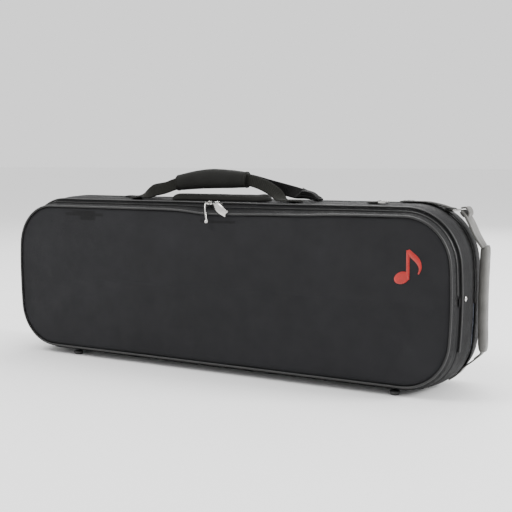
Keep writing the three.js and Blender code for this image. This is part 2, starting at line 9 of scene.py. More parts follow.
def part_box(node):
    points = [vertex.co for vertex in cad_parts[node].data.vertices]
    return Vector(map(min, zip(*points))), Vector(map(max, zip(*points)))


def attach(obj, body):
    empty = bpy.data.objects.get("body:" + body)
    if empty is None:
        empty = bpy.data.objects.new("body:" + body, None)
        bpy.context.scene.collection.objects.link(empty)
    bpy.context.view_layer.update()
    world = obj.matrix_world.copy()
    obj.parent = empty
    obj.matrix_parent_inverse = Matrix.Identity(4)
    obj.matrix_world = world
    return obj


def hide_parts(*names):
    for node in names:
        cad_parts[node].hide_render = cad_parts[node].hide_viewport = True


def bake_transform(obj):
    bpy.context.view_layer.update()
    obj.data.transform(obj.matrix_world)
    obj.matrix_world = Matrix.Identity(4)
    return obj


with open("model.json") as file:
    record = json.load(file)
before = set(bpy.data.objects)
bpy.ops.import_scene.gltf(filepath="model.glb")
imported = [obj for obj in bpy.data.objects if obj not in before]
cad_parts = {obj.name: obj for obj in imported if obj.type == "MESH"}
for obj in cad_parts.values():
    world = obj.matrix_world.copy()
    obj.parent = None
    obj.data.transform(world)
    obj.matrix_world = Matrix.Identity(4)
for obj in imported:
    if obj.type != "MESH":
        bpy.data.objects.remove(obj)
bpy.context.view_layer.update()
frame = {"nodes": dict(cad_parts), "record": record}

# ---------------------------------------------------------------- frame and sizes
# Design coordinates are millimetres: x from mid length, y from the lid's face, z from the face's lower edge.
FOOT_LEFT_X, FOOT_RIGHT_X, FOOT_FLOOR_Z = -278, 310, -14.8
LID_FOOT_Y, BASE_FOOT_Y = 11.7, 72
foot_low, foot_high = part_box("lid_foot_left")
SHIFT = Vector(((foot_low[0] + foot_high[0]) / 2 - FOOT_LEFT_X / 1000,
                (foot_low[1] + foot_high[1]) / 2 - LID_FOOT_Y / 1000,
                foot_low[2] - FOOT_FLOOR_Z / 1000))

STATIONS = [  # y, half length, low z, high z, upper corner radius, lower corner radius
    (0, 392, 3, 245, 67, 67), (2, 395, 0, 248, 70, 70), (14, 397.4, -8, 252, 74, 73),
    (20, 398.4, -9, 254, 77, 74), (27, 399.5, -9.5, 256, 80, 74), (37, 400.4, -10, 258.5, 82, 73),
    (60, 404, -10.5, 262, 84, 70), (92, 406, -10.5, 263, 86, 70), (119, 405, -10, 262.5, 86, 70),
    (131, 402, -7, 259.5, 84, 68), (137, 395, 0, 252.5, 77, 61)]
BOW, END_STEPS, CORNER_STEPS, SIDE_STEPS = 2.0, 8, 14, 40
PARTING_Y, ZIP_END_Z = 20.0, 129.0
POCKET_ZIP_Y = 86.0
LEFT_SLIDER_X, RIGHT_SLIDER_X, BACK_SLIDER_X = -9, 5, -60
FOCAL_LENGTH_MM = 62.346


def P(x, y, z):
    return Vector((x, y, z)) / 1000 + SHIFT


def mix(a, b, t):
    return a + (b - a) * t


def smooth(t):
    t = min(1.0, max(0.0, t))
    return t * t * (3 - 2 * t)


def section(y):
    y = min(137, max(0, y))
    for a, b in zip(STATIONS, STATIONS[1:]):
        if y <= b[0]:
            t = (y - a[0]) / (b[0] - a[0])
            return [mix(p, q, t) for p, q in zip(a[1:], b[1:])]


def quarter(half, rise, radius):
    reach = max(4.0, rise - radius)
    end_radius = (reach * reach + BOW * BOW) / (2 * BOW)
    end_angle = math.asin(min(1, reach / end_radius))
    pts = []
    for i in range(END_STEPS):
        a = end_angle * i / END_STEPS
        pts.append((half - end_radius + end_radius * math.cos(a), end_radius * math.sin(a)))
    cx = half - end_radius + (end_radius - radius) * math.cos(end_angle)
    cz = (end_radius - radius) * math.sin(end_angle)
    for i in range(CORNER_STEPS + 1):
        a = mix(end_angle, math.pi / 2, i / CORNER_STEPS)
        pts.append((cx + radius * math.cos(a), cz + radius * math.sin(a)))
    fit = rise / pts[-1][1]
    return [(x, z * fit) for x, z in pts]


def ring(y, inset=0.0):
    """The case's outline at depth y, drawn in by inset: from the middle of the right end up and round."""
    half, low, high, radius, low_radius = section(y)
    half, low, high = half - inset, low + inset, high - inset
    rise, mid = (high - low) / 2, (high + low) / 2

    def arch(r):
        q = quarter(half, rise, max(3.0, min(r - inset, rise - 4)))
        x_end = q[-1][0]
        side = [(x_end - 2 * x_end * (i + 1) / SIDE_STEPS, rise) for i in range(SIDE_STEPS - 1)]
        return q + side + [(-x, z) for x, z in reversed(q)][:-1]

    top = arch(radius)
    bottom = [(-x, -z) for x, z in arch(low_radius)]
    return [Vector((x, y, z + mid)) for x, z in top + bottom]


RING_N = len(ring(10))


def sag(x):
    """How far the lid's upper edge sinks between the zip sliders, in mm."""
    w = 42 if x < 0 else 150
    return 5.4 * math.exp(-(((x - 2) / w) ** 2)) + 1.2 * math.exp(-(((x - 160) / 40) ** 2))


def soft(p):
    """The uneven hang of a cloth-covered lid at a design point."""
    q = p.copy()
    top = smooth((p.z - 205) / 40) * smooth((30 - p.y) / 28)
    q.z -= sag(p.x) * top
    if p.y < 24:
        q.y += 0.55 * noise.noise(Vector((p.x / 95, 3.1, p.z / 70)))
    else:
        q.z += 0.35 * noise.noise(Vector((p.x / 60, p.y / 30, p.z / 60)))
    return q


# ---------------------------------------------------------------- mesh helpers
def link(name, verts, faces, uvs=None, smooth_shade=True):
    me = bpy.data.meshes.new(name)
    me.from_pydata([tuple(v) for v in verts], [], faces)
    if uvs:
        layer = me.uv_layers.new(name="cloth")
        for loop in me.loops:
            layer.data[loop.index].uv = uvs[loop.vertex_index]
    bm = bmesh.new()
    bm.from_mesh(me)
    bmesh.ops.recalc_face_normals(bm, faces=bm.faces)
    bm.to_mesh(me)
    bm.free()
    for poly in me.polygons:
        poly.use_smooth = smooth_shade
    ob = bpy.data.objects.new(name, me)
    bpy.context.collection.objects.link(ob)
    return ob


def loft(name, rings, closed_ring=True, loop=False, caps=(False, False)):
    """Skins rings of design points. The cloth UV is in metres along and across."""
    n = len(rings[0])
    verts = [P(*p) for r in rings for p in r]
    uvs, across = [], 0.0
    for k, r in enumerate(rings):
        if k:
            across += (Vector(rings[k][0]) - Vector(rings[k - 1][0])).length / 1000
        along = 0.0
        for i, p in enumerate(r):
            if i:
                along += (Vector(p) - Vector(r[i - 1])).length / 1000
            uvs.append((along, across))
    faces = []
    for k in range(len(rings) if loop else len(rings) - 1):
        a, b = k * n, (k + 1) % len(rings) * n
        for i in range(n if closed_ring else n - 1):
            j = (i + 1) % n
            faces.append((a + i, a + j, b + j, b + i))
    if caps[0]:
        faces.append(tuple(range(n)))
    if caps[1]:
        faces.append(tuple(reversed(range((len(rings) - 1) * n, len(rings) * n))))
    return link(name, verts, faces, uvs)


def tube(name, pts, r, sides=10, loop=False, squeeze=1.0):
    rings = []
    for i, p in enumerate(pts):
        a = pts[i - 1] if loop or i else pts[0]
        b = pts[(i + 1) % len(pts)] if loop or i < len(pts) - 1 else pts[-1]
        along = (Vector(b) - Vector(a)).normalized()
        depth = Vector((0, 1, 0))
        if abs(along.dot(depth)) > 0.9:
            depth = Vector((0, 0, 1))
        across = depth.cross(along).normalized()
        depth = along.cross(across).normalized()
        rr = r[i] if isinstance(r, (list, tuple)) else r
        rings.append([Vector(p) + depth * rr * math.cos(t) * squeeze + across * rr * math.sin(t)
                      for t in (2 * math.pi * k / sides for k in range(sides))])
    return loft(name, rings, True, loop, (not loop, not loop))


def catmull(values, steps):
    """Smooth values between stops; each is a tuple of numbers."""
    out = []
    last = len(values) - 1
    for i in range(last):
        p0, p1, p2, p3 = (values[max(0, i - 1)], values[i], values[i + 1], values[min(last, i + 2)])
        for s in range(steps):
            t = s / steps
            out.append(tuple(
                0.5 * (2 * b + (c - a) * t + (2 * a - 5 * b + 4 * c - d) * t * t
                       + (3 * b - a - 3 * c + d) * t ** 3)
                for a, b, c, d in zip(p0, p1, p2, p3)))
    out.append(tuple(values[-1]))
    return out


def ribbon(name, stops, width, thick, steps=8, curl=0.0, taper=None):
    """A webbing or leather strap: stops are (x, y, z, wx, wy, wz), the w part being the width direction."""
    path = catmull(stops, steps)
    rings = []
    upper = [(-1, 0.45), (-0.94, 0.85), (-0.7, 1), (-0.35, 1), (0, 1), (0.35, 1), (0.7, 1), (0.94, 0.85),
             (1, 0.45)]
    prof = upper + [(u, -v) for u, v in reversed(upper)]
    for i, s in enumerate(path):
        c, w = Vector(s[:3]), Vector(s[3:6])
        a, b = Vector(path[max(0, i - 1)][:3]), Vector(path[min(len(path) - 1, i + 1)][:3])
        along = (b - a).normalized()
        w = (w - along * w.dot(along)).normalized()
        t = along.cross(w).normalized()
        k = taper(i / (len(path) - 1)) if taper else 1.0
        rings.append([c + w * (u * width / 2 * k) + t * (v * thick / 2 + curl * (u * u - 0.4))
                      for u, v in prof])
    return loft(name, rings, True, False, (True, True))


def stitches(name, pts, normal, length=3.0, gap=1.4, r=0.32, lift=0.15):
    """A row of separate stitches on a path of design points. normal(p) points out of the cloth."""
    verts, faces = [], []
    pos, todo, on = 0.0, [], True
    for a, b in zip(pts, pts[1:]):
        a, b = Vector(a), Vector(b)
        seg = (b - a).length
        if seg < 1e-6:
            continue
        at = -pos
        while at + length <= seg:
            if at >= 0:
                todo.append((a.lerp(b, at / seg), a.lerp(b, (at + length) / seg)))
            at += length + gap
        pos = (seg - at) if at < seg else -(at - seg)
    for a, b in todo:
        along = (b - a).normalized()
        up = normal(a.lerp(b, 0.5)).normalized()
        side = along.cross(up).normalized()
        base = len(verts)
        for t, k in ((0, 0.3), (0.25, 1), (0.75, 1), (1, 0.3)):
            c = a.lerp(b, t) + up * (lift + r * 0.5 * (k - 0.3))
            for m in range(5):
                q = 2 * math.pi * m / 5
                verts.append(P(*(c + side * r * k * math.cos(q) + up * r * 0.8 * k * math.sin(q))))
        for k in range(3):
            for m in range(5):
                n = (m + 1) % 5
                faces.append((base + k * 5 + m, base + k * 5 + n, base + k * 5 + 5 + n, base + k * 5 + 5 + m))
        faces.append(tuple(base + m for m in range(5)))
        faces.append(tuple(base + 15 + m for m in reversed(range(5))))
    return link(name, verts, faces)


def lathe(name, profile, centre, axis="Z", segs=32):
    """A turned piece: profile of (radius, height) in mm along an axis."""
    turn = {"Z": Matrix.Identity(3), "Y": Matrix.Rotation(math.radians(90), 3, "X"),
            "X": Matrix.Rotation(math.radians(90), 3, "Y")}[axis]
    rings = []
    for r, h in profile:
        rings.append([Vector(centre) + turn @ Vector((max(r, 0.01) * math.cos(2 * math.pi * k / segs),
                                                      max(r, 0.01) * math.sin(2 * math.pi * k / segs), h))
                      for k in range(segs)])
    return loft(name, rings, True, False, (True, True))


def rounded_box(name, centre, size, bevel):
    bm = bmesh.new()
    bmesh.ops.create_cube(bm, size=1)
    for v in bm.verts:
        v.co = Vector((v.co.x * size[0], v.co.y * size[1], v.co.z * size[2])) / 1000
    bmesh.ops.bevel(bm, geom=bm.edges[:], offset=bevel / 1000, segments=3, profile=0.6, affect="EDGES")
    me = bpy.data.meshes.new(name)
    bmesh.ops.translate(bm, vec=P(*centre), verts=bm.verts)
    bm.to_mesh(me)
    bm.free()
    for poly in me.polygons:
        poly.use_smooth = True
    ob = bpy.data.objects.new(name, me)
    bpy.context.collection.objects.link(ob)
    return ob


def join(name, objects):
    bm = bmesh.new()
    for ob in objects:
        bm.from_mesh(ob.data)
    me = bpy.data.meshes.new(name)
    bm.to_mesh(me)
    bm.free()
    for poly in me.polygons:
        poly.use_smooth = True
    for ob in objects:
        bpy.data.objects.remove(ob)
    ob = bpy.data.objects.new(name, me)
    bpy.context.collection.objects.link(ob)
    return ob


# ---------------------------------------------------------------- camera and light
def camera():
    yaw, pitch, roll = math.radians(28.11), math.radians(6.21), math.radians(-0.07)
    data = bpy.data.cameras.new("camera")
    data.sensor_width = 36
    data.lens = FOCAL_LENGTH_MM
    cam = bpy.data.objects.new("camera", data)
    bpy.context.collection.objects.link(cam)
    turn = (Matrix.Rotation(yaw, 3, "Z") @ Matrix.Rotation(math.pi / 2 - pitch, 3, "X")
            @ Matrix.Rotation(roll, 3, "Z"))
    cam.matrix_world = Matrix.Translation(P(730.1, -1206.1, 328.2)) @ turn.to_4x4()
    bpy.context.scene.camera = cam


def lights():
    world = bpy.data.worlds.new("studio")
    bpy.context.scene.world = world
    world.use_nodes = True
    world.node_tree.nodes["Background"].inputs[0].default_value = (1, 1, 1, 1)
    world.node_tree.nodes["Background"].inputs[1].default_value = 1.3
    for name, pos, size, power in (("key", (-1.3, -1.3, 2.3), 1.2, 46), ("right", (2.2, 0.5, 1.1), 0.7, 60),
                                   ("top", (0.1, 0.4, 2.5), 1.2, 26), ("back", (-0.6, 2.4, 1.6), 1.6, 34)):
        data = bpy.data.lights.new(name, "AREA")
        data.size, data.energy = size, power
        ob = bpy.data.objects.new(name, data)
        ob.location = pos
        aim = Vector((0, 0, 0.14)) - Vector(pos)
        ob.rotation_euler = aim.to_track_quat("-Z", "Y").to_euler()
        bpy.context.collection.objects.link(ob)


# ---------------------------------------------------------------- materials
class Shade:
    """A Principled material built by chaining nodes."""

    def __init__(self, name, color, roughness, metallic=0.0, specular=0.5):
        self.mat = bpy.data.materials.new(name)
        self.mat.use_nodes = True
        self.nodes, self.links = self.mat.node_tree.nodes, self.mat.node_tree.links
        self.bsdf = self.nodes["Principled BSDF"]
        self.bsdf.inputs["Base Color"].default_value = (*color, 1)
        self.bsdf.inputs["Roughness"].default_value = roughness
        self.bsdf.inputs["Metallic"].default_value = metallic
        self.bsdf.inputs["Specular IOR Level"].default_value = specular
        self.color = color
        self.height = None

    def node(self, kind, **inputs):
        n = self.nodes.new(kind)
        for key, value in inputs.items():
            socket = n.inputs[key.replace("_", " ")] if isinstance(key, str) else n.inputs[key]
            if hasattr(value, "is_output"):
                self.links.new(value, socket)
            else:
                socket.default_value = value
        return n

    def coords(self, kind="Object"):
        if kind == "UV":
            n = self.nodes.new("ShaderNodeUVMap")
            n.uv_map = "cloth"
            return n.outputs["UV"]
        return self.nodes.new("ShaderNodeTexCoord").outputs[kind]

    def math(self, op, a, b=None):
        n = self.nodes.new("ShaderNodeMath")
        n.operation = op
        for k, value in enumerate((a, b)):
            if value is None:
                continue
            if hasattr(value, "is_output"):
                self.links.new(value, n.inputs[k])
            else:
                n.inputs[k].default_value = value
        return n.outputs[0]

    def noise(self, scale, detail):
        n = self.node("ShaderNodeTexNoise", Vector=self.coords(), Scale=scale, Detail=detail, Roughness=0.55)
        return n.outputs["Fac"]

    def split(self, kind):
        n = self.node("ShaderNodeSeparateXYZ", Vector=self.coords(kind))
        return n.outputs

    def wave(self, value, pitch):
        return self.math("SINE", self.math("MULTIPLY", value, 2 * math.pi / pitch))

    def bump(self, height, strength, distance=0.0004):
        n = self.node("ShaderNodeBump", Height=height, Strength=strength, Distance=distance)
        if self.height is not None:
            self.links.new(self.height, n.inputs["Normal"])
        self.height = n.outputs["Normal"]
        self.links.new(self.height, self.bsdf.inputs["Normal"])
        return self

    def vary(self, fac, low, high):
        """The base colour runs between low and high times itself as fac goes from 0.3 to 0.7."""
        ramp = self.nodes.new("ShaderNodeValToRGB")
        ramp.color_ramp.elements[0].position, ramp.color_ramp.elements[1].position = 0.3, 0.7
        ramp.color_ramp.elements[0].color = (*[c * low for c in self.color], 1)
        ramp.color_ramp.elements[1].color = (*[c * high for c in self.color], 1)
        self.links.new(fac, ramp.inputs[0])
        self.links.new(ramp.outputs[0], self.bsdf.inputs["Base Color"])
        return self

    def rough(self, fac, low, high):
        n = self.node("ShaderNodeMapRange", Value=fac)
        n.inputs["From Min"].default_value, n.inputs["From Max"].default_value = 0.3, 0.7
        n.inputs["To Min"].default_value, n.inputs["To Max"].default_value = low, high
        self.links.new(n.outputs["Result"], self.bsdf.inputs["Roughness"])
        return self

    def sheen(self, weight, tint=(1, 1, 1), roughness=0.4):
        self.bsdf.inputs["Sheen Weight"].default_value = weight
        self.bsdf.inputs["Sheen Tint"].default_value = (*tint, 1)
        self.bsdf.inputs["Sheen Roughness"].default_value = roughness
        return self


def weave(name, color, pitch, depth, kind="UV", roughness=0.8, sheen=0.25, ribs=None, shine=0.16):
    s = Shade(name, color, roughness, 0.0, shine)
    u, v, w = s.split(kind)
    if kind == "UV":
        across = v
    else:
        across = s.math("ADD", v, w)
    cloth = s.math("MULTIPLY", s.wave(u, pitch), s.wave(across, pitch))
    s.vary(s.noise(9, 5), 0.86, 1.14)
    s.rough(s.noise(40, 2), roughness - 0.06, roughness + 0.06)
    s.bump(s.noise(900, 2), 0.25, 0.0002)
    s.bump(cloth, depth, 0.0002)
    if ribs:
        s.bump(s.wave(across, ribs), 0.5, 0.0004)
    return s.sheen(sheen)


def leather(name, color):
    s = Shade(name, color, 0.5)
    cells = s.node("ShaderNodeTexVoronoi", Vector=s.coords(), Scale=520.0)
    cells.feature = "DISTANCE_TO_EDGE"
    s.vary(s.noise(34, 6), 0.74, 1.22)
    s.rough(s.noise(60, 4), 0.38, 0.62)
    s.bump(cells.outputs["Distance"], 0.5, 0.0004)
    s.bump(s.noise(70, 5), 0.5, 0.001)
    return s.sheen(0.1)


def metal(name, color):
    s = Shade(name, color, 0.25, 1.0)
    s.rough(s.noise(220, 4), 0.16, 0.34)
    s.bump(s.noise(420, 3), 0.12, 0.0002)
    return s


def plush(name, color):
    s = Shade(name, color, 0.95)
    s.vary(s.noise(26, 5), 0.72, 1.2)
    s.bump(s.noise(1300, 2), 0.8, 0.0008)
    s.bump(s.noise(60, 3), 0.4, 0.002)
    return s.sheen(0.9, (0.75, 0.82, 1), 0.3)


def plastic(name, color, roughness):
    s = Shade(name, color, roughness)
    s.vary(s.noise(120, 3), 0.9, 1.1)
    s.rough(s.noise(90, 3), roughness - 0.08, roughness + 0.08)
    s.bump(s.noise(900, 2), 0.2, 0.0002)
    return s


def gray(v, tint=(0, 0, 0)):
    """A linear colour from an 8-bit screen grey."""
    def lin(c):
        c = c / 255
        return c / 12.92 if c <= 0.04045 else ((c + 0.055) / 1.055) ** 2.4
    return tuple(lin(v + t) for t in tint)


MAT = {}


def make_materials():
    MAT["nylon"] = weave("nylon", gray(29, (0, 0, 2)), 0.0011, 0.5, "UV", 0.66, 0.03)
    # The same nylon as the face in a darker grey: painted shade for the case's side walls, back and spine cloth.
    MAT["nylon_painted_shade"] = weave("nylon_painted_shade", gray(21, (0, 0, 1)), 0.0011, 0.5, "UV", 0.7, 0.02)
    MAT["nylon_soft"] = weave("nylon_soft", gray(22, (1, 1, -1)), 0.0011, 0.5, "Object", 0.7, 0.03)
    MAT["piping"] = weave("piping", gray(30), 0.0009, 0.2, "UV", 0.36, 0.02, None, 0.36)
    MAT["tape"] = weave("tape", gray(12, (0, 0, 1)), 0.0008, 0.5, "UV", 0.8, 0.02)
    MAT["webbing"] = weave("webbing", gray(27, (1, 1, -2)), 0.0013, 0.7, "UV", 0.72, 0.03, 0.0032)
    MAT["webbing_black"] = weave("webbing_black", gray(7), 0.0013, 0.7, "UV", 0.75, 0.02, 0.0032)
    MAT["thread"] = weave("thread", gray(20), 0.0004, 0.4, "Object", 0.6, 0.02)
    MAT["leather"] = leather("leather", gray(78, (1, 0, -3)))
    MAT["leather_thread"] = weave("leather_thread", gray(60), 0.0004, 0.4, "Object", 0.6, 0.1)
    MAT["metal"] = metal("metal", (0.6, 0.59, 0.57))
    MAT["rubber"] = plastic("rubber", gray(38), 0.62)
    MAT["coil"] = plastic("coil", gray(32), 0.45)
    MAT["knob"] = plastic("knob", gray(30), 0.4)
    MAT["plush"] = plush("plush", (0.014, 0.024, 0.062))
    MAT["dial"] = plastic("dial", (0.78, 0.76, 0.7), 0.5)
    red = Shade("red_thread", (0.5, 0.004, 0.003), 0.5)
    x, _, z = red.split("Object")
    red.vary(red.noise(160, 4), 0.78, 1.2)
    red.bump(red.wave(red.math("ADD", x, red.math("MULTIPLY", z, 0.6)), 0.0011), 0.8, 0.0005)
    MAT["red"] = red.sheen(0.3, (1, 0.7, 0.6))
    floor = Shade("floor", (0.93, 0.93, 0.93), 0.9)
    floor.vary(floor.noise(3, 2), 0.995, 1.0)
    MAT["floor"] = floor


def dress(ob, mat, body=None, replaces=()):
    ob.data.materials.clear()
    ob.data.materials.append(MAT[mat].mat)
    if body:
        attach(ob, body)
    if replaces:
        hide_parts(*replaces)
    return ob


def dress_node(node, mat):
    ob = frame["nodes"][node]
    for s in ob.material_slots:
        s.material = MAT[mat].mat


# ---------------------------------------------------------------- padded covers
def face_rings(y, sign, puff):
    """Rings that close the front or back face, from its edge to its middle, bulging by puff."""
    rings = []
    for inset in (1.5, 4, 8, 13, 20, 28, 38, 50, 62, 75, 88, 100, 111, 119):
        bulge = puff * (1 - math.exp(-inset / 22))
        r = []
        for p in ring(y, inset):
            q = Vector((p.x, y + sign * bulge, p.z))
            if sign < 0:
                edge = math.exp(-((inset - 12) / 11) ** 2)
                above = smooth((p.z - 190) / 40)
                dents = math.exp(-((p.x - 20) / 75) ** 2) + math.exp(-((p.x + 250) / 60) ** 2)
                q.y += 1.5 * edge * above * dents
            r.append(soft(q))
        rings.append(r)
    return rings


LID_FACE_DEPTH = 0.0009  # metres behind the face where the lid cover's side cloth begins


def covers():
    rim = [(13.2, 2.1), (13.2, 0.9), (12.9, 0.2), (12, 0), (10, 0), (8, 0), (6, 0), (4.5, 0), (2.6, 0.1),
           (1.3, 0.7), (0.4, 1.6)]
    rings = [[soft(p) for p in ring(y, s)] for y, s in rim]
    lid = loft("lid_padded_cover", rings + face_rings(0, -1, 0.7)[1:], caps=(False, True))
    dress(lid, "nylon", "lid", ["lid_cover"])
    # Cloth behind the face takes the darker nylon copy: painted shade on the lid's sides.
    lid.data.materials.append(MAT["nylon_painted_shade"].mat)
    for poly in lid.data.polygons:
        if (poly.center.y - SHIFT.y) > LID_FACE_DEPTH:
            poly.material_index = 1

    # The base wall and the pocket take the darker nylon copy: painted shade.
    side = [(27.2, 2.1), (27.3, 0.7), (28, 0), (33, -0.1), (39, -0.1), (43, -0.2), (50, -0.3), (58, -0.4),
            (66, -0.4), (74, -0.2), (79, 0), (81.4, 0.5), (82, 2)]
    base = loft("base_padded_cover", [[soft(p) for p in ring(y, s)] for y, s in side])
    dress(base, "nylon_painted_shade", "base", ["base_cover"])

    back = [(90, 2.1), (90.2, 0.6), (91, 0), (96, -0.3), (104, -0.5), (112, -0.4), (119, -0.2), (125, 0),
            (130, 0), (133.5, 0.6), (135.6, 1.2), (136.8, 2.6)]
    rings = [[soft(p) for p in ring(y, s)] for y, s in back]
    pocket = loft("pocket_padded_cover", rings + face_rings(137, 1, 1.4)[1:], caps=(False, True))
    dress(pocket, "nylon_painted_shade", "base", ["pocket_cover"])


def chain(y, inset, z, side):
    """The part of the outline above (side 1) or below (side -1) height z, in order."""
    pts = ring(y, inset)
    start = RING_N * 3 // 4 if side > 0 else RING_N // 4
    pts = pts[start:] + pts[:start]
    return [p for p in pts if (p.z - z) * side >= 0]


def outward(p):
    """Roughly square to the case's outline at a design point."""
    return Vector((p.x - max(-300, min(300, p.x)), 0, p.z - (190 if p.z > 126 else 62)))


def piping():
    welt = [soft(Vector((p.x, -0.8, p.z))) for p in ring(0, -2.8)]
    dress(tube("face_piping", welt, 1.75, 12, True), "piping", "lid", ["face_welt"])
    seam = [soft(Vector((p.x, 1.1, p.z))) for p in ring(1.1, -1.0)]
    dress(tube("face_piping_flange", seam, 0.9, 8, True), "piping", "lid")
    rim = [soft(p) for p in chain(29.4, -2.1, 49, 1)]
    dress(tube("rim_piping", rim, 1.75, 12), "piping", "base", ["rim_welt"])
    dress(tube("pocket_piping", ring(136, -1.9), 1.75, 12, True), "piping", "base", ["pocket_welt"])
    for name, y, inset, body in (("lid_seam", 10.8, -0.15, "lid"), ("base_seam", 34, -0.25, "base"),
                                 ("base_back_seam", 77.5, -0.25, "base"), ("pocket_seam", 95, -0.4, "base"),
                                 ("pocket_edge_seam", 131.5, 0.05, "base")):
        pts = [soft(p) for p in ring(y, inset)]
        dress(stitches(name, pts + pts[:1], outward, 3.2, 1.5, 0.3), "thread", body)


def zips():
    def strip(name, ys, z, body, replaces):
        rings = [[soft(p) for p in chain(y, 0.9, z, 1)] for y in ys]
        n = min(len(r) for r in rings)
        ob = loft(name, [r[:n] for r in rings], closed_ring=False)
        solid = ob.modifiers.new("thick", "SOLIDIFY")
        solid.thickness, solid.offset = 0.001, -1
        dress(ob, "tape", body, replaces)
    strip("lid_tape", (12.6, 14.5, 16.5, 18, 19.6), ZIP_END_Z, "lid", ["lid_zip_tape"])
    strip("base_tape", (20.4, 22, 24, 26, 27.8), ZIP_END_Z, "base", ["base_zip_tape"])
    strip("pocket_lower_tape", (81, 83, 85.7), ZIP_END_Z - 20, "base", ["pocket_zip_base_tape"])
    strip("pocket_upper_tape", (86.3, 88, 91), ZIP_END_Z - 20, "base", ["pocket_zip_tape"])
    for label, centre, z, bodies, nodes in (("main", PARTING_Y, ZIP_END_Z + 1, ("lid", "base"),
                                            (["lid_zip_coil"], ["base_zip_coil"])),
                                           ("pocket", POCKET_ZIP_Y, ZIP_END_Z - 19, ("base", "base"), ([], []))):
        for k, (sign, body) in enumerate(zip((-1, 1), bodies)):
            teeth(f"{label}_teeth_{'front' if sign < 0 else 'rear'}", centre, sign, z, body, nodes[k])


def teeth(name, centre, sign, z, body, replaces):
    """One side of a coil zip: a close row of small bent loops over the tape's edge."""
    path = [soft(p) for p in chain(centre, 0.45, z, 1)]
    lengths = [0.0]
    for a, b in zip(path, path[1:]):
        lengths.append(lengths[-1] + (b - a).length)
    pitch = 1.9
    verts, faces = [], []
    seg = 0
    at = 0.5 if sign > 0 else 0.5 + pitch / 2
    while at < lengths[-1]:
        while lengths[seg + 1] < at:
            seg += 1
        a, b = path[seg], path[seg + 1]
        c = a.lerp(b, (at - lengths[seg]) / (lengths[seg + 1] - lengths[seg]))
        along = (b - a).normalized()
        up = Vector((0, 1, 0)).cross(along)
        up = up if up.dot(Vector((c.x * 0.2, 0, c.z - 126))) > 0 else -up
        base = len(verts)
        for reach, rise, wide in ((-0.35, 0.15, 0.55), (0.5, 0.75, 0.62), (1.7, 0.8, 0.5), (2.7, 0.15, 0.45)):
            for s, h in ((-1, -0.3), (-1, 0.12), (1, 0.12), (1, -0.3)):
                corner = c + Vector((0, sign * reach, 0)) + up * (rise + h) + along * wide * s * 0.75
                verts.append(P(*corner))
        for k in range(3):
            for m in range(4):
                q = (m + 1) % 4
                faces.append((base + k * 4 + m, base + k * 4 + q, base + k * 4 + 4 + q, base + k * 4 + 4 + m))
        faces.append((base, base + 1, base + 2, base + 3))
        faces.append((base + 15, base + 14, base + 13, base + 12))
        at += pitch
    dress(link(name, verts, faces, smooth_shade=False), "coil", body, replaces)


def fabric_hinge():
    """The cloth gusset below the zip's ends, which joins lid and base along the spine."""
    ys = [12.4 + 15.6 * k / 22 for k in range(23)]
    rings = []
    for y in ys:
        fold = 0.35 * math.exp(-((y - PARTING_Y) / 1.2) ** 2)
        pts = chain(y, 0.8 + fold, ZIP_END_Z + 2, -1)
        rings.append(pts)
    n = min(len(r) for r in rings)
    cut = [r[(len(r) - n) // 2:(len(r) - n) // 2 + n] for r in rings]
    ob = loft("spine_cloth", cut, closed_ring=False)
    solid = ob.modifiers.new("thick", "SOLIDIFY")
    solid.thickness, solid.offset = 0.0009, -1
    # The spine cloth takes the darker nylon copy: painted shade.
    dress(ob, "nylon_painted_shade", None, ["lid_gusset", "base_gusset"])
    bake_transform(ob)


def zip_ends():
    """A short cloth stop over each end of the zip."""
    for side, sign in (("left", -1), ("right", 1)):
        x = section(24)[0] + 0.6
        pts = [(sign * x, 24.2, z, 0, 1, 0) for z in (ZIP_END_Z - 9, ZIP_END_Z - 3, ZIP_END_Z + 3)]
        ob = ribbon(f"zip_stop_{side}", pts, 6.2, 1.2, 4)
        dress(ob, "tape", "base")


# ---------------------------------------------------------------- top handle
STRAP_W, STRAP_T = 19.0, 2.4
FOOT_Z = section(58)[2] + 1.6


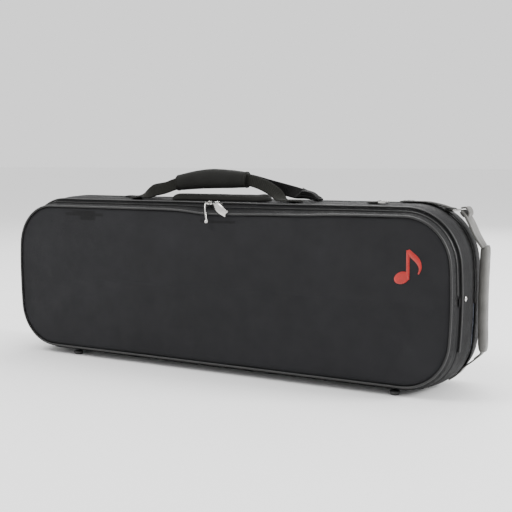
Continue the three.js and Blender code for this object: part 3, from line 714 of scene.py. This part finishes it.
def top_handle():
    f, v = (0, 1, 0), (0, 0, 1)

    def lean(t):
        return (0, 1 - t, t)
    front = [(-184, 49, FOOT_Z, *f), (-170, 49, FOOT_Z, *f), (-160, 49.4, FOOT_Z + 4.6, *lean(0.3)),
             (-148, 50.6, 271, *lean(0.7)), (-138, 52, 275.4, *lean(0.86)), (-118, 54, 280, *lean(0.9)),
             (-94, 57.4, 288.4, *v), (-66, 57.4, 293.5, *v), (-30, 57.4, 296.5, *v), (6, 57.4, 296.5, *v),
             (38, 57.4, 295.5, *v), (60, 55, 291, *v), (80, 52.8, 283.5, 0.02, 0.1, 0.9),
             (94, 51.5, 275.6, 0.1, 0.25, 0.8), (103, 50, 268, 0.1, 0.6, 0.5), (114, 49, FOOT_Z + 0.4, *f),
             (140, 49, FOOT_Z, *f)]
    ob = ribbon("front_webbing", front, STRAP_W, STRAP_T, 8, 0.25)
    dress(ob, "webbing", None, ["front_strap", "front_strap_foot_left", "front_strap_foot_right"])
    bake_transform(ob)
    back = [(-208, 72, FOOT_Z + 0.8, *f), (-188, 72, FOOT_Z + 0.8, *f), (-174, 72, FOOT_Z + 5, *lean(0.3)),
            (-158, 71.2, 273.5, *lean(0.75)), (-146, 70.6, 277.4, *v), (-124, 68.5, 281, *v),
            (-94, 64.6, 289, *v), (-66, 64.6, 293.5, *v), (-30, 64.6, 296.5, *v), (6, 64.6, 296.5, *v), (38, 64.6, 295.5, *v),
            (75, 68.5, 286.5, *v), (100, 70.4, 280.4, *v), (118, 71.4, 276, 0, 0.3, 0.9),
            (132, 72, 273, 0, 0.6, 0.6), (146, 72, 268.6, 0, 0.9, 0.2), (160, 72, FOOT_Z + 0.8, *f)]
    ob = ribbon("back_webbing", back, STRAP_W, STRAP_T, 8, 0.2)
    dress(ob, "webbing_black", None, ["back_strap", "back_strap_foot_left"])
    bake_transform(ob)
    knot()
    grip()
    rest_pad()
    for name, x0, x1, y in (("front_left_box", -183, -170, 49), ("front_right_box", 118, 138, 49),
                            ("back_left_box", -207, -191, 72)):
        w = STRAP_W / 2 - 2.4
        z = FOOT_Z + (1.5 if y < 60 else 2.3)
        box = [(x0, y - w, z), (x1, y - w, z), (x1, y + w, z), (x0, y + w, z), (x0, y - w, z), (x1, y + w, z)]
        dress(stitches(name, box, lambda p: Vector((0, 0, 1)), 2.4, 0.9, 0.32), "thread", "base")


def knot():
    """The doubled-over end of the rear strap: two folded layers, squashed together."""
    layers = []
    for k, (dy, dz, w) in enumerate(((0, 0, 19), (0.8, 3.4, 18), (-0.6, 6.4, 16))):
        stops = [(122 + 4 * k, 72 + dy, 273 + dz * 0.8, 0, 0.75, 0.5), (136, 72 + dy, 271.6 + dz, 0, 1, 0.12),
                 (149, 72 + dy, 269.2 + dz * 0.9, 0, 1, 0),
                 (163 - 3 * k, 72 + dy, 265.4 + dz * 0.55, 0, 1, 0)]
        layers.append(ribbon(f"layer{k}", stops, w, 3.2, 6, 0.3))
    ob = join("back_webbing_fold", layers)
    dress(ob, "webbing_black", "base", ["back_strap_fold"])


GRIP_STOPS = [(-94.6, 289, 11.4, 10.4), (-91, 290, 13, 12.2), (-84, 291, 13.8, 12.8), (-66, 293.5, 15, 13),
              (-48, 295.6, 15.8, 13), (-30, 296.7, 16.3, 13), (-12, 296.9, 15.8, 13), (6, 296.5, 15, 12.9),
              (22, 296, 13.9, 12.6), (33, 295.6, 12.9, 12), (38.5, 295.5, 11.4, 10.6)]


def squircle(c, s, power):
    """How far a rounded square reaches in the direction (c, s)."""
    return 1 / (abs(c) ** power + abs(s) ** power) ** (1 / power)


def grip():
    rows = catmull(GRIP_STOPS, 5)
    rings = []
    for x, z, hz, hy in rows:
        r = []
        for k in range(36):
            a = 2 * math.pi * k / 36
            c, s = math.cos(a), math.sin(a)
            m = squircle(c, s, 2.6)
            wrinkle = 1 + 0.016 * noise.noise(Vector((x / 14, c * 1.7, s * 1.7)))
            seam = 1 - 0.05 * math.exp(-((a - 4.35) / 0.09) ** 2)
            r.append(Vector((x, 61 + hy * m * c * wrinkle * seam, z + hz * m * s * wrinkle * seam)))
        rings.append(r)
    ob = loft("handle_padded_wrap", rings, True, False, (True, True))
    dress(ob, "nylon_soft", "top_handle", ["handle_grip"])
    ends = []
    for x, z, hz, hy in (rows[2], rows[-3]):
        pts = []
        for k in range(36):
            a = 2 * math.pi * k / 36
            c, s = math.cos(a), math.sin(a)
            m = squircle(c, s, 2.6)
            pts.append(Vector((x, 61 + hy * m * c * 1.02, z + hz * m * s * 1.02)))
        ends.append(tube("binding", pts, 1.25, 8, True))
    dress(join("handle_wrap_binding", ends), "webbing", "top_handle")
    seam = []
    for x, z, hz, hy in rows[4:-4]:
        a = math.radians(236)
        c, s = math.cos(a), math.sin(a)
        m = squircle(c, s, 2.6)
        seam.append((x, 61 + hy * m * c, z + hz * m * s))
    ob = stitches("handle_wrap_seam", seam, lambda p: Vector((0, -0.6, -0.8)), 3, 1.2, 0.35)
    dress(ob, "thread", "top_handle")


def rest_pad():
    """The padded roll on the case's top, under the handle."""
    rings = []
    for i in range(45):
        t = i / 44
        x = mix(-106, 82, t)
        end = min(1, (x + 106) / 16, (82 - x) / 13)
        fat = max(0.02, math.sqrt(max(0, 1 - (1 - max(0.0, end)) ** 2)))
        r = []
        for k in range(24):
            a = 2 * math.pi * k / 24
            y = 61 + (13.4 * fat if x < 40 else 13 * fat) * math.cos(a)
            rise = (9.4 + 1.3 * math.exp(-((x - 70) / 9) ** 2)) * fat * max(0, math.sin(a)) ** 0.75
            wr = 0.35 * noise.noise(Vector((x / 17, math.cos(a) * 1.3, 7)))
            r.append(Vector((x, y, section(y)[2] + 0.3 + rise + wr * (1 if math.sin(a) > 0 else 0))))
        rings.append(r)
    ob = loft("handle_pad_roll", rings, True, False, (True, True))
    dress(ob, "nylon_soft", "base", ["handle_rest_pad"])


# ---------------------------------------------------------------- end handle
def end_handle():
    w = (0, 1, 0)
    y = 90
    rings = []
    for i in range(41):
        t = i / 40
        z = mix(46, 203, t)
        end = min(1, t * 40 / 4, (1 - t) * 40 / 4)
        fat = 0.72 + 0.28 * math.sqrt(max(0, 1 - (1 - end) ** 2))
        bend = 0.6 - 1.4 * math.sin(t * math.pi)
        r = []
        for k in range(28):
            a = 2 * math.pi * k / 28
            c, s = math.cos(a), math.sin(a)
            m = squircle(c, s, 2.8)
            wr = 1 + 0.03 * noise.noise(Vector((c, s, z / 16)))
            r.append(Vector((418.2 + bend + 6.8 * m * c * fat * wr, y + 12 * m * s * fat * wr, z)))
        rings.append(r)
    ob = loft("end_padded_grip", rings, True, False, (True, True))
    dress(ob, "leather", "end_handle", ["end_grip"])
    rows = []
    for s in (-1, 1):
        pts = [(423.6 - 1.4 * math.sin((z - 46) / 157 * math.pi), y + s * 9, z) for z in range(53, 197, 4)]
        rows.append(stitches("row", pts, lambda p: Vector((1, 0, 0)), 3.4, 1.6, 0.4, 0.1))
    dress(join("end_grip_stitches", rows), "leather_thread", "end_handle")
    upper = [(385.6, y, 253, *w), (390, y, 248, *w), (394.4, y, 240.8, *w), (399.4, y, 231.6, *w),
             (405.2, y, 219.2, *w), (411, y, 209.4, *w), (415, y, 203.6, *w), (417, y, 200, *w)]
    ob = ribbon("end_leather_upper", upper, 33, 4.6, 8, -0.8,
                lambda t: 0.74 + 0.26 * math.sin(math.pi * t) ** 0.7)
    dress(ob, "leather", "end_handle", ["end_strap_upper"])
    loop = [(384, y, 257.4, *w), (390.6, y, 258, *w), (394.6, y, 253.2, *w), (395, y, 247.4, *w),
            (391.4, y, 243.6, *w)]
    keeper = [(382.4, y, 251.6, *w), (384.6, y, 247.6, *w), (388, y, 244.4, *w)]
    parts = [ribbon("l1", loop, 24, 2.8, 6, 0.3), ribbon("l2", keeper, 22, 2.4, 6, 0.2)]
    dress(join("end_leather_loop", parts), "leather", "end_handle")
    lower = [(418, y, 48, *w), (417.4, y, 43.6, *w), (414.6, y, 39.8, *w), (411.4, y, 37, *w),
             (408.2, y, 34, *w)]
    ob = ribbon("end_leather_lower", lower, 20, 3.4, 8, 0.2)
    dress(ob, "leather", "end_handle", ["end_strap_lower"])
    corner = sorted((p for p in ring(y, -1.3) if p.x > 370 and p.z < 26), key=lambda p: -p.z)
    tab = [(409.4, y, 35.6, *w), (406.2, y, 31.4, *w)] + [(p.x, y, p.z, *w) for p in corner]
    ob = ribbon("end_leather_tab", tab, 20, 2.2, 8, 0.1)
    dress(ob, "leather", "base", ["end_tab_lower"])
    strap = [(290, y, 264.8, *w), (316, y, 264.8, *w), (332, y, 264.2, *w), (350, y, 260.8, *w),
             (363, y, 257, *w), (370.6, y, 255.4, *w), (371.6, y, 252.6, *w), (367, y, 252.4, *w), (358, y, 255, *w)]
    ob = ribbon("corner_webbing", strap, 21.5, 1.7, 8)
    dress(ob, "webbing", "base", ["corner_strap"])
    dress_node("corner_ring", "metal")
    z = 266.1
    box = [(294, 82, z), (308, 82, z), (308, 98, z), (294, 98, z), (294, 82, z), (308, 98, z)]
    ob = stitches("corner_webbing_box", box, lambda p: Vector((0, 0, 1)), 2.4, 0.9, 0.32)
    dress(ob, "thread", "base")
    tabz = section(74)[2]
    tab = [(246, 64, tabz + 1.2, *w), (254, 64, tabz + 1.3, *w), (260, 64, tabz + 1.5, *w),
           (263.4, 64, tabz + 3.4, *w)]
    ob = ribbon("side_ring_webbing", tab, 16, 1.4, 6)
    dress(ob, "webbing", "base", ["side_ring_tab"])
    dress_node("side_ring", "metal")


# ---------------------------------------------------------------- zip hardware, feet, rivets and emblem
def pull_eye(x, y, pivot):
    """The small ring that hangs a pull on its slider's bar."""
    pts = [Vector((x, y + 1.7 * math.cos(a), pivot + 1.7 * math.sin(a)))
           for a in (2 * math.pi * k / 16 for k in range(16))]
    return tube("eye", pts, 0.6, 8, True)


def slider_pieces():
    under = section(24.2)[2] + 1.1
    for side, x in (("left", LEFT_SLIDER_X), ("right", RIGHT_SLIDER_X)):
        dress(slider_shell(f"slider_{side}_shell", x, PARTING_Y, under), "metal", f"{side}_slider",
              [f"zip_slider_{side}"])
    pivot = under + 4.1
    y = PARTING_Y
    left = catmull([(LEFT_SLIDER_X, y - 2.2, pivot), (-8.6, 11, pivot + 0.2), (-6.6, 2, pivot - 2.4),
                    (-3.8, -4, pivot - 8.6), (-1.4, -6, 241), (0, -6.2, 233)], 6)
    rod = tube("rod", [Vector(p) for p in left], [1.3] * (len(left) - 3) + [1.4, 1.6, 2.0], 10)
    ball = lathe("ball", [(0.3, -3.4), (2, -2.9), (3.2, -1.3), (3.4, 0), (3.1, 1.5), (1.9, 2.8), (0.3, 3.2)],
                 (0.2, -6.4, 230.8), "Z", 20)
    eye = pull_eye(LEFT_SLIDER_X, y, pivot)
    dress(join("pull_left_rod", [rod, ball, eye]), "metal", "left_pull", ["zip_pull_left"])
    right = leaf_pull(RIGHT_SLIDER_X, y, pivot)
    dress(right, "metal", "right_pull", ["zip_pull_right"])
    under = section(POCKET_ZIP_Y)[2] + 0.4
    ob = slider_shell("slider_back_shell", BACK_SLIDER_X, POCKET_ZIP_Y, under)
    dress(ob, "metal", "back_slider", ["pocket_slider"])
    pivot = under + 4.1
    x = BACK_SLIDER_X
    tongue = [(x, 87.8, pivot, 1, 0, 0), (x, 96, pivot - 0.3, 1, 0, 0), (x, 110, pivot - 0.6, 1, 0, 0)]
    flat = ribbon("flat", tongue, 4.6, 1.5, 8, 0, lambda t: 0.6 + 0.4 * smooth(t * 1.6))
    eye = pull_eye(BACK_SLIDER_X, POCKET_ZIP_Y, pivot)
    dress(join("pull_back_tongue", [flat, eye]), "metal", "back_pull", ["pocket_pull"])


def slider_shell(name, x, y, under):
    parts = [rounded_box("plate", (x, y, under + 0.8), (12.4, 8.6, 1.6), 0.7)]
    for s in (-1, 1):
        parts.append(rounded_box("post", (x + s * 2.95, y, under + 3.0), (1.3, 2.6, 3.8), 0.5))
    parts.append(rounded_box("bar", (x, y, under + 4.1), (6.4, 1.3, 1.3), 0.4))
    return join(name, parts)


def leaf_pull(x, y, pivot):
    """A cast pull like a tulip leaf, lying over the lid's edge."""
    path = catmull([(x, y - 2.4, pivot), (x + 1.4, 11, pivot), (x + 6, 3, pivot - 2.2),
                    (x + 13, -3, pivot - 6), (x + 22, -6, pivot - 11.4), (x + 31, -6.6, pivot - 17)], 6)
    rings = []
    n = len(path) - 1
    for i, c in enumerate(path):
        t = i / n
        half = 1.4 + 5.2 * smooth((t - 0.3) / 0.3) * (1 - 0.3 * smooth((t - 0.75) / 0.25))
        thick = 1.3 + 1.0 * math.sin(math.pi * min(1, t * 1.05))
        a, b = Vector(path[max(0, i - 1)]), Vector(path[min(n, i + 1)])
        along = (b - a).normalized()
        wide = Vector((1, 0, 0)).lerp(Vector((0.5, 0, 0.86)), smooth((t - 0.2) / 0.35))
        wide = (wide - along * along.dot(wide)).normalized()
        up = along.cross(wide).normalized()
        r = []
        for k in range(20):
            q = 2 * math.pi * k / 20
            lobe = 1.0 - 0.5 * smooth((t - 0.86) / 0.14) * (1 - abs(math.cos(q)))
            r.append(Vector(c) + wide * half * math.cos(q) + up * thick * math.sin(q) * 0.62 * lobe
                     + along * 2.4 * smooth((t - 0.8) / 0.2) * (abs(math.cos(q)) - 0.4))
        rings.append(r)
    leaf = loft("leaf", rings, True, False, (True, True))
    eye = pull_eye(x, y, pivot)
    return join("pull_right_leaf", [leaf, eye])


def small_parts():
    for half, y in (("lid", LID_FOOT_Y), ("base", BASE_FOOT_Y)):
        for side, x in (("left", FOOT_LEFT_X), ("right", FOOT_RIGHT_X)):
            node = f"{half}_foot_{side}"
            low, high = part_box(node)
            h = (high[2] - low[2]) * 1000
            prof = [(0.1, 0), (5.4, 0), (6.3, 0.25), (7.2, 1.1), (7.5, 2.2), (7.6, h + 0.3), (0.1, h + 0.3)]
            ob = lathe(f"{node}_moulding", prof, (x, y, FOOT_FLOOR_Z), "Z", 36)
            dress(ob, "rubber", half, [node])
    for side, s in (("left", -1), ("right", 1)):
        x = section(46)[0] + 0.3
        prof = [(0.1, 0), (4.2, 0), (4.3, s * 0.5), (3.6, s * 1.3), (2.2, s * 2.0), (0.1, s * 2.3)]
        ob = lathe(f"rivet_{side}", prof, (s * x, 46, 129), "X", 28)
        dress(ob, "metal", "base", [f"end_rivet_{side}"])


def emblem():
    """A quaver in satin stitch: each outline filled and rounded over like a thread pad."""
    head = [(322 + 12 * math.cos(a) * math.cos(0.45) - 8.5 * math.sin(a) * math.sin(0.45),
             160 + 12 * math.cos(a) * math.sin(0.45) + 8.5 * math.sin(a) * math.cos(0.45))
            for a in (2 * math.pi * k / 40 for k in range(40))]
    flag = catmull([(330.7, 199.6), (337, 193), (345, 185.6), (349, 176), (346.6, 166.4)], 8)
    parts = []
    rings = []
    for s, rise in ((1.0, 0.05), (0.985, 0.5), (0.94, 0.8), (0.8, 1.0), (0.5, 1.1), (0.05, 1.15)):
        rings.append([Vector((322 + (x - 322) * s, -0.5 - rise, 160 + (z - 160) * s)) for x, z in head])
    parts.append(loft("head", rings, True, False, (False, True)))
    stem = [Vector((330.9, -0.75, z)) for z in (158, 166, 175, 185, 194, 200)]
    parts.append(tube("stem", stem, [2.4, 2.5, 2.5, 2.5, 2.6, 2.4], 14, squeeze=0.36))
    radii = [2.6 + 1.6 * math.sin(math.pi * min(1, k / 22)) - 1.6 * smooth((k - 20) / 12)
             for k in range(len(flag))]
    parts.append(tube("flag", [Vector((x, -0.75, z)) for x, z in flag], radii, 14, squeeze=0.3))
    dress(join("emblem_stitching", parts), "red", "lid", ["emblem"])


# ---------------------------------------------------------------- inside
def soften(node, voxel, name, rounds):
    """A padded copy of a plain CAD solid, with its edges rounded over as foam under cloth."""
    src = frame["nodes"][node]
    ob = bpy.data.objects.new(name, src.data.copy())
    bpy.context.collection.objects.link(ob)
    ob.data.transform(src.matrix_world)
    mod = ob.modifiers.new("r", "REMESH")
    mod.mode, mod.voxel_size = "VOXEL", voxel
    sm = ob.modifiers.new("s", "SMOOTH")
    sm.iterations, sm.factor = rounds, 0.5
    bpy.context.view_layer.objects.active = ob
    dg = bpy.context.evaluated_depsgraph_get()
    me = bpy.data.meshes.new_from_object(ob.evaluated_get(dg))
    ob.modifiers.clear()
    ob.data = me
    for poly in me.polygons:
        poly.use_smooth = True
    return ob


def inside():
    def body(name):
        return next(b for b, nodes in frame["record"]["behaviour"]["bodies"].items() if name in nodes)
    for node, voxel, rounds in (("violin_bed", 0.004, 4), ("suspension_pad_lower", 0.0016, 8),
                                ("suspension_pad_upper", 0.0016, 8), ("neck_cradle", 0.0022, 5),
                                ("accessory_lid", 0.0016, 4), ("lid_lining", 0.0016, 2),
                                ("bow_tip_pocket_upper", 0.0012, 3), ("bow_tip_pocket_lower", 0.0012, 3)):
        ob = soften(node, voxel, f"{node}_plush", rounds)
        dress(ob, "plush", body(node), [node])
    dress_node("base_shell", "plush")
    shell = soften("lid_shell", 0.0035, "lid_shell_sagged", 0)
    for v in shell.data.vertices:
        p = (v.co - SHIFT) * 1000
        drop = 0.0011 * sag(p.x) * smooth((p.z - 195) / 40) * smooth((30 - p.y) / 28)
        v.co.z -= drop + 0.0002 * (p.z > 200)
    dress(shell, "plush", "lid", ["lid_shell"])
    for node in ("bow_spinner_upper", "bow_spinner_lower"):
        dress_node(node, "knob")
    dress_node("hygrometer", "metal")
    x, z, y = 308, 130, 34.4
    dial = lathe("hygrometer_dial", [(0.1, 0), (14.4, 0), (14.4, -0.25), (0.1, -0.25)], (x, y, z), "Y", 40)
    dress(dial, "dial", "compartment_flap")
    marks = []
    for k in range(21):
        a = math.radians(225 - 270 * k / 20)
        r0, r1 = (9.6, 12.6) if k % 5 == 0 else (11, 12.6)
        line = [Vector((x + r * math.cos(a), y - 0.35, z + r * math.sin(a))) for r in (r0, r1)]
        marks.append(tube("m", line, 0.22, 6))
    a = math.radians(70)
    needle = [Vector((x + r * math.cos(a), y - 0.5, z + r * math.sin(a))) for r in (-3, 10)]
    marks.append(tube("m", needle, [0.6, 0.15], 6))
    dress(join("hygrometer_marks", marks), "coil", "compartment_flap")
    v = (1, 0, 0)
    strap = [(78, 43.4, 84, *v), (78, 42.4, 92, *v), (78, 41.4, 100, *v), (78, 40.8, 126, *v),
             (78, 41.4, 152, *v), (78, 42.4, 160, *v), (78, 43.4, 168, *v)]
    ob = ribbon("neck_webbing", strap, 24, 1.4, 6, 0.1)
    dress(ob, "webbing", "base", ["neck_strap"])
    tab = [(308, 39.2, 221, *v), (308, 38.6, 229, *v), (308, 38.2, 237, *v)]
    ob = ribbon("compartment_tab", tab, 14, 1.2, 6)
    dress(ob, "leather", "compartment_flap", ["accessory_pull_tab"])


def floor():
    bm = bmesh.new()
    bmesh.ops.create_grid(bm, x_segments=2, y_segments=2, size=30)
    me = bpy.data.meshes.new("floor")
    bm.to_mesh(me)
    bm.free()
    ob = bpy.data.objects.new("floor", me)
    ob.location.z = -0.0002
    bpy.context.collection.objects.link(ob)
    me.materials.append(MAT["floor"].mat)


camera()
lights()
make_materials()
covers()
piping()
zips()
fabric_hinge()
zip_ends()
top_handle()
end_handle()
slider_pieces()
small_parts()
emblem()
inside()
floor()
